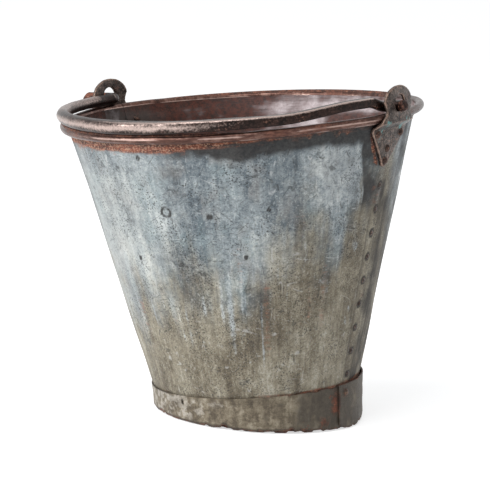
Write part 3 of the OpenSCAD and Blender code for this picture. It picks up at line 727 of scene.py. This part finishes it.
def zinc_material(name):
    """the body: zinc, olive dirt, pale and dark places, rust, painted sheen and shade, with its own look on
    the bead and inside
    """
    s = Shader(name)
    cloud, mid = s.noise(42, 3.0, (1, 0.6, 1)), s.noise(9, 6.0, (1, 0.75, 1), 0.3, 0.66)
    small, speck = s.noise(3.2, 8.0, shift=0.9, rough=0.8), s.noise(1.3, 2.0, shift=1.7)
    drip, wide_drip = s.noise(2.2, 4.0, (1, 0.05, 1), 2.1, 0.62), s.noise(11, 5.0, (1, 0.13, 1), 2.9, 0.6)
    tone = s.total((cloud, 1.0), (wide_drip, 0.6), (mid, 0.6), (drip, 0.35), (small, 0.95))
    bare = s.ramp(tone, (0.05, rgb(44, 50, 55)), (0.36, rgb(94, 103, 109)), (0.6, rgb(140, 148, 151)),
                  (0.95, rgb(208, 213, 212)))
    # frosted zinc, lightened further as a painted sheen where the left of the wall faces the light
    frosted_sheen = s.ramp(tone, (0.05, rgb(92, 98, 101)), (0.42, rgb(158, 164, 164)), (0.8, rgb(206, 210, 207)))
    bare = s.cover(s.attr("frost_and_sheen"), 0.88, bare, frosted_sheen)
    teal, warm = s.noise(24, 3.0, (1, 0.6, 1), 8.1), s.noise(20, 3.0, (1, 0.5, 1), 9.3)
    bare = s.cover(s.step(teal, 0.5, 0.68), 0.3, bare, rgb(132, 152, 156))
    bare = s.cover(s.step(warm, 0.5, 0.66), 0.3, bare, rgb(150, 144, 138))
    dirt = s.ramp(tone, (0.0, rgb(56, 46, 35)), (0.36, rgb(106, 95, 76)), (0.6, rgb(146, 137, 117)),
                  (1.0, rgb(200, 195, 180)))
    grime = s.total((s.attr("olive"), 1.0), (mid, 0.3), (wide_drip, 0.4), (drip, 0.2), (small, 0.4),
                    base=0.0)
    color = s.cover(s.step(grime, 0.0, 1.0), 0.92, bare, dirt)
    pale = s.mask_of("pale", 0.25, 0.8, (small, 1.2), (drip, 0.4), (mid, 1.0))
    worn = s.ramp(tone, (0.1, rgb(112, 121, 127)), (0.5, rgb(166, 173, 176)), (0.9, rgb(220, 224, 222)))
    color = s.cover(pale, 0.85, color, worn)
    dark = s.mask_of("dark", 0.15, 0.85, (mid, 0.6), (small, 0.8))

    # fine dark and pale specks and hairline scratches
    peppered = s.step(s.noise(22, 4.0, (1, 0.7, 1), 11.1), 0.42, 0.6)
    color = s.cover(s.step(speck, 0.56, 0.63), s.lerp(peppered, 0.25, 0.85), color, rgb(52, 51, 50))
    color = s.cover(s.step(speck, 0.4, 0.3), 0.3, color, rgb(204, 208, 206))
    scratch_sets = ((0.05, 44, 0.55), (-0.9, 50, 0.55), (0.7, 46, 0.55), (-0.1, 218, 0.34),
                    (1.35, 214, 0.34), (-1.3, 52, 0.55), (0.3, 40, 0.55), (-0.5, 46, 0.55))
    for k, (angle, shade, amount) in enumerate(scratch_sets):
        near = s.step(s.noise(10, 2.0, shift=5.1 + k), 0.52, 0.64)
        line = s.times(s.scratches(26, 7, angle, 4.3 + 2*k, 0.006), near)
        color = s.cover(line, amount, color, rgb(shade, shade + 1, shade))
    color = s.cover(dark, 0.9, color, s.mix(s.step(small, 0.3, 0.7), rgb(14, 12, 12), rgb(54, 50, 48)))

    # the rolled bead, and the lining
    rim, inside = s.attr("rim"), s.attr("inside")
    bead = s.ramp(s.total((mid, 1.0), (small, 1.2)), (0.15, rgb(36, 24, 21)), (0.5, rgb(84, 58, 50)),
                  (0.85, rgb(140, 112, 102)))
    # painted highlight lines on the bead
    bead = s.mix(s.mask_of("bead_glint", 0.2, 0.7, (small, 0.8)), bead, rgb(176, 150, 140))
    bead = s.cover(dark, 0.7, bead, rgb(46, 38, 36))
    color = s.mix(rim, color, bead)
    mottle = s.total((cloud, 0.5), (mid, 1.1), (small, 1.2))
    lining = s.ramp(mottle, (0.1, rgb(112, 94, 92)), (0.45, rgb(176, 163, 164)), (0.8, rgb(222, 214, 216)))
    # painted shade inside the bucket, in dark brown
    lining = s.cover(dark, 0.96, lining, s.mix(small, rgb(40, 33, 30), rgb(78, 66, 60)))
    color = s.mix(inside, color, lining)

    # rust, drawn out along the rim and softer inside
    band = s.noise(2.2, 5.0, (0.16, 1, 1), 5.3, 0.65)
    patchy = s.total((s.attr("rust"), 1.0), (small, 0.6), (band, 0.9), (mid, 0.4), base=0.0)
    rust = s.lerp(inside, s.step(patchy, 0.22, 0.82), s.step(patchy, 0.05, 1.0))
    crust = rust_color(s, s.total((band, 0.8), (mid, 0.8)), small)
    crust = s.cover(s.step(speck, 0.53, 0.62), 0.6, crust, rgb(204, 166, 140))
    crust = s.cover(s.step(speck, 0.46, 0.36), 0.75, crust, rgb(66, 42, 32))
    maroon = s.mix(s.step(small, 0.36, 0.62), rgb(40, 23, 16), rgb(92, 47, 34))
    brown = s.mix(s.step(small, 0.4, 0.6), rgb(78, 42, 32), rgb(132, 80, 60))
    color = s.cover(rust, 0.92, color, s.mix(rim, s.mix(inside, crust, maroon), brown))

    dull = s.math("MAXIMUM", s.step(grime, 0.12, 0.9), pale)
    rough = s.lerp(dull, s.lerp(s.step(mid, 0.3, 0.7), 0.34, 0.5), 0.6)
    rough = s.lerp(rim, s.lerp(dark, s.lerp(inside, rough, 0.6), 0.75), s.lerp(small, 0.2, 0.42))
    rough = s.lerp(rust, rough, s.lerp(rim, 0.82, 0.5))
    metal = s.lerp(dark, s.lerp(dull, 0.62, 0.3), 0.1)
    metal = s.lerp(rim, s.lerp(inside, metal, 0.25), 0.8)
    metal = s.lerp(rust, metal, s.lerp(rim, 0.1, 0.4))
    height = s.total((small, 0.35), (mid, 0.4), (s.times(rust, small), 0.9))
    return s.done(color, rough, metal, height, 0.0005)


def foot_material():
    s = Shader("foot_zinc")
    mid, small = s.noise(9, 6.0, shift=0.5, rough=0.66), s.noise(3.0, 8.0, shift=1.3, rough=0.8)
    speck, drip = s.noise(1.1, 3.0, shift=2.3), s.noise(4, 5.0, (1, 0.15, 1), 3.3)
    tone = s.total((mid, 1.1), (small, 0.9), (drip, 0.6))
    color = s.ramp(tone, (0.1, rgb(54, 47, 38)), (0.42, rgb(98, 88, 73)), (0.62, rgb(134, 124, 106)),
                   (0.95, rgb(178, 171, 156)))
    pale = s.mask_of("pale", 0.1, 0.95, (small, 1.0), (mid, 0.6))
    color = s.cover(pale, 0.8, color, s.ramp(tone, (0.2, rgb(130, 123, 111)), (0.8, rgb(206, 200, 190))))
    dark = s.mask_of("dark", 0.25, 0.8, (mid, 0.9), (small, 0.7))
    color = s.cover(dark, 0.8, color, s.mix(small, rgb(32, 28, 24), rgb(76, 68, 59)))
    color = s.cover(s.step(speck, 0.6, 0.7), 0.6, color, rgb(50, 42, 36))
    rust = s.mask_of("rust", 0.3, 0.62, (small, 1.0), (mid, 0.5))
    color = s.cover(rust, 0.9, color, s.mix(0.35, rust_color(s, mid, small), rgb(56, 40, 33)))
    rough = s.lerp(rust, s.lerp(mid, 0.42, 0.66), 0.85)
    height = s.total((small, 0.7), (mid, 0.4), (rust, 0.4))
    return s.done(color, rough, s.lerp(rust, 0.4, 0.08), height, 0.0007)


def bottom_material():
    s = Shader("bottom_rust")
    mid, small = s.noise(16, 5.0, shift=0.8), s.noise(3, 5.0, shift=1.9, rough=0.65)
    color = s.mix(s.step(mid, 0.35, 0.65), rgb(70, 60, 53), rgb(112, 103, 95))
    rust = s.edge_of(s.attr("rust"), small, 0.2, 1.0)
    color = s.cover(rust, 0.9, color, s.mix(0.4, rust_color(s, mid, small), rgb(50, 36, 30)))
    color = s.cover(s.step(s.noise(1.2, 3.0, shift=3), 0.58, 0.68), 0.6, color, rgb(40, 32, 28))
    return s.done(color, s.lerp(rust, 0.55, 0.85), s.lerp(rust, 0.4, 0.08), small, 0.0006)


def iron_material(name, low, high, bright=None, mask="edge", rust_amount=None, paint=False, by_uv=False,
                  depth=0.0006):
    """forged iron from colour low to high, with rust, and bright places where the mask is: worn edges on the
    ears, rubbed metal and painted highlights on the bail.
    Without a rust_amount for the whole piece it takes the painted rust mask."""
    s = Shader(name, by_uv)
    mid, small = s.noise(6, 5.0, shift=0.4, rough=0.62), s.noise(1.6, 5.0, shift=1.1, rough=0.7)
    tone = s.total((mid, 1.1), (small, 0.9))
    dim, glint = tuple(0.35*c for c in low[:3]) + (1,), tuple(min(1, 2.1*c) for c in high[:3]) + (1,)
    color = s.ramp(tone, (0.1, dim), (0.4, low), (0.62, high), (0.95, glint))
    rust = s.edge_of(s.attr("rust") if rust_amount is None else rust_amount, small, 0.22, 1.2)
    color = s.cover(rust, 0.85, color, s.mix(0.3, rust_color(s, mid, small), rgb(60, 42, 35)))
    rough, metal = s.lerp(rust, s.lerp(small, 0.24, 0.5), 0.8), s.lerp(rust, 0.75, 0.12)
    if bright:
        # bright worn places, on the bail also painted highlights
        worn = s.edge_of(s.attr(mask), small, 0.42, 1.4)
        color = s.cover(worn, 0.9, color, bright)
        rough, metal = s.lerp(worn, rough, 0.27), s.lerp(worn, metal, 0.95)
    if paint:
        flakes = s.step(s.attr("paint"), 0.3, 0.5)
        color = s.mix(flakes, color, s.mix(small, rgb(52, 112, 112), rgb(120, 176, 172)))
        rough, metal = s.lerp(flakes, rough, 0.5), s.lerp(flakes, metal, 0.0)
    return s.done(color, rough, metal, s.total((small, 0.7), (mid, 0.5)), depth)


zinc, foot_zinc, bottom_rust = zinc_material("body_zinc"), foot_material(), bottom_material()
ear_iron = iron_material("ear_iron", rgb(42, 35, 32), rgb(88, 78, 72), rgb(138, 116, 104), paint=True)
# the bail's bright colour stands for rubbed metal and for painted highlights along the rod
bail_iron = iron_material("bail_iron", rgb(24, 15, 12), rgb(50, 34, 29), rgb(188, 168, 160), "polish_and_glint",
                          by_uv=True, depth=0.0002)
ear_rivet_iron = iron_material("ear_rivet_iron", rgb(48, 37, 32), rgb(88, 72, 63), rust_amount=0.4)
seam_rivet_zinc = iron_material("seam_rivet_zinc", rgb(52, 44, 40), rgb(96, 86, 80), rust_amount=0.3)
foot_rivet_iron = iron_material("foot_rivet_iron", rgb(46, 38, 33), rgb(86, 74, 64), rust_amount=0.35)
wire_iron = iron_material("rim_wire_iron", rgb(60, 46, 40), rgb(100, 82, 74), rust_amount=0.6)

# the sheets' laps at the seams: the front one reaches LAP past each seam, the back one under it
LAP, NOTCH, LEFT_SEAM = 3, 3.2, 180 - LEFT_TURN
front_spans = [(LEFT_SEAM - LAP, 360 + LAP, True)]
back_spans = [(-LAP, NOTCH, False), (NOTCH, LEFT_SEAM - NOTCH, True),
              (LEFT_SEAM - NOTCH, LEFT_SEAM + LAP, False)]
pieces = {
    "front_sheet": (half_sheet("front_sheet_worn", 0.0, front_spans, zinc), "sheet"),
    "back_sheet": (half_sheet("back_sheet_worn", LAYER, back_spans, zinc), "sheet"),
    "foot_band": (foot_band(foot_zinc), "foot"),
    "bottom_plate": (bottom_plate(bottom_rust), "bottom"),
    "bail": (bail(bail_iron), "bail"),
    "ear_right": (worn_ear("ear_right", ear_iron, 0), "ears"),
    "ear_left": (worn_ear("ear_left", ear_iron, 5), "ears"),
}
for node, (piece, slot) in pieces.items():
    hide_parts(node)
# rivets and wire keep their CAD meshes
for node, material in (("ear_rivets_right", ear_rivet_iron), ("ear_rivets_left", ear_rivet_iron),
                       ("rim_wire", wire_iron), ("seam_rivets_right", seam_rivet_zinc),
                       ("seam_rivets_left", seam_rivet_zinc), ("foot_rivets", foot_rivet_iron)):
    kept = frame["nodes"][node]
    kept.data.materials.clear()
    kept.data.materials.append(material)


# ------------------------------------------------------------------ floor, light, camera
def seen_rays(nodes, links):
    """1 for the rays that show the white background: from the camera, reflected or let through"""
    rays = nodes.new("ShaderNodeLightPath").outputs
    through, seen = nodes.new("ShaderNodeMath"), nodes.new("ShaderNodeMath")
    through.operation = seen.operation = "MAXIMUM"
    links.new(rays["Is Glossy Ray"], through.inputs[0])
    links.new(rays["Is Transmission Ray"], through.inputs[1])
    links.new(rays["Is Camera Ray"], seen.inputs[0])
    links.new(through.outputs[0], seen.inputs[1])
    return seen.outputs[0]


def stage_material():
    """white for the camera and in reflections, yet darkened by the bucket's shadow"""
    s = Shader("studio_floor", False)
    seen = seen_rays(s.tree.nodes, s.tree.links)
    glow = s.node("ShaderNodeEmission", {"Color": (1, 1, 1, 1), "Strength": s.times(seen, 0.62)})
    plain = s.node("ShaderNodeBsdfDiffuse", {"Color": (0.86, 0.86, 0.86, 1)})
    both = s.node("ShaderNodeAddShader", {0: glow, 1: plain})
    s.tree.links.new(both, s.tree.nodes["Material Output"].inputs["Surface"])
    return s.material


bpy.ops.mesh.primitive_plane_add(size=30, location=(0, 0, 0))
floor = bpy.context.object
floor.name = "studio_floor"
floor.data.materials.append(stage_material())

# soft grey light all round, seen as white
world = bpy.data.worlds.new("studio")
scene.world = world
world.use_nodes = True
nodes, links = world.node_tree.nodes, world.node_tree.links
tone = nodes.new("ShaderNodeMix")
tone.data_type = "RGBA"
links.new(seen_rays(nodes, links), tone.inputs[0])
tone.inputs[6].default_value = (0.42, 0.43, 0.44, 1)
tone.inputs[7].default_value = (1, 1, 1, 1)
links.new(tone.outputs[2], nodes["Background"].inputs["Color"])
nodes["Background"].inputs["Strength"].default_value = 1.0


def area_lamp(name, place, aim, wide, tall, power):
    lamp = bpy.data.lights.new(name, "AREA")
    lamp.shape, lamp.size, lamp.size_y, lamp.energy = "RECTANGLE", wide, tall, power
    holder = bpy.data.objects.new(name, lamp)
    holder.location = place
    holder.rotation_euler = (Vector(aim) - Vector(place)).to_track_quat("-Z", "Y").to_euler()
    scene.collection.objects.link(holder)


# the camera in the bucket's own frame, leaned onto the floor with it: where it stands and where it looks
EYE_TURN, EYE_AWAY, EYE_UP = math.radians(34.53), 2153.02, 465.91
LOOK_TURN, LOOK_DOWN, LOOK_ROLL = math.radians(34.629), math.radians(9.377), math.radians(-3.368)
look = (Matrix.Rotation(LOOK_TURN, 3, "Z") @ Matrix.Rotation(math.pi/2 - LOOK_DOWN, 3, "X")
        @ Matrix.Rotation(LOOK_ROLL, 3, "Z"))
look = Matrix(turn.tolist()) @ look
eye = to_world([EYE_AWAY*math.sin(EYE_TURN), -EYE_AWAY*math.cos(EYE_TURN), EYE_UP])
camera = bpy.data.objects.new("camera", bpy.data.cameras.new("camera"))
camera.data.lens, camera.data.sensor_width = 192.66, 36
camera.data.clip_start, camera.data.clip_end = 0.1, 60
camera.matrix_world = Matrix.Translation(eye) @ look.to_4x4()
scene.collection.objects.link(camera)
scene.camera = camera
flat_right = Vector((look[0][0], look[1][0], 0)).normalized()
flat_out = Vector((look[0][2], look[1][2], 0)).normalized()
middle = Vector((0, 0, 0.14))


def studio(across, out, up):
    """a place round the bucket: metres to the camera's right, towards the camera, and up"""
    return middle + flat_right*across + flat_out*out + Vector((0, 0, up))


area_lamp("key_left", studio(-1.8, 0.9, 0.8), middle, 1.2, 1.2, 31)
area_lamp("top", studio(-0.5, 0.9, 1.7), middle, 1.0, 0.8, 14)
area_lamp("rim_right", studio(1.9, -1.5, 0.6), middle, 0.4, 1.4, 4)

scene.view_settings.view_transform = "Standard"
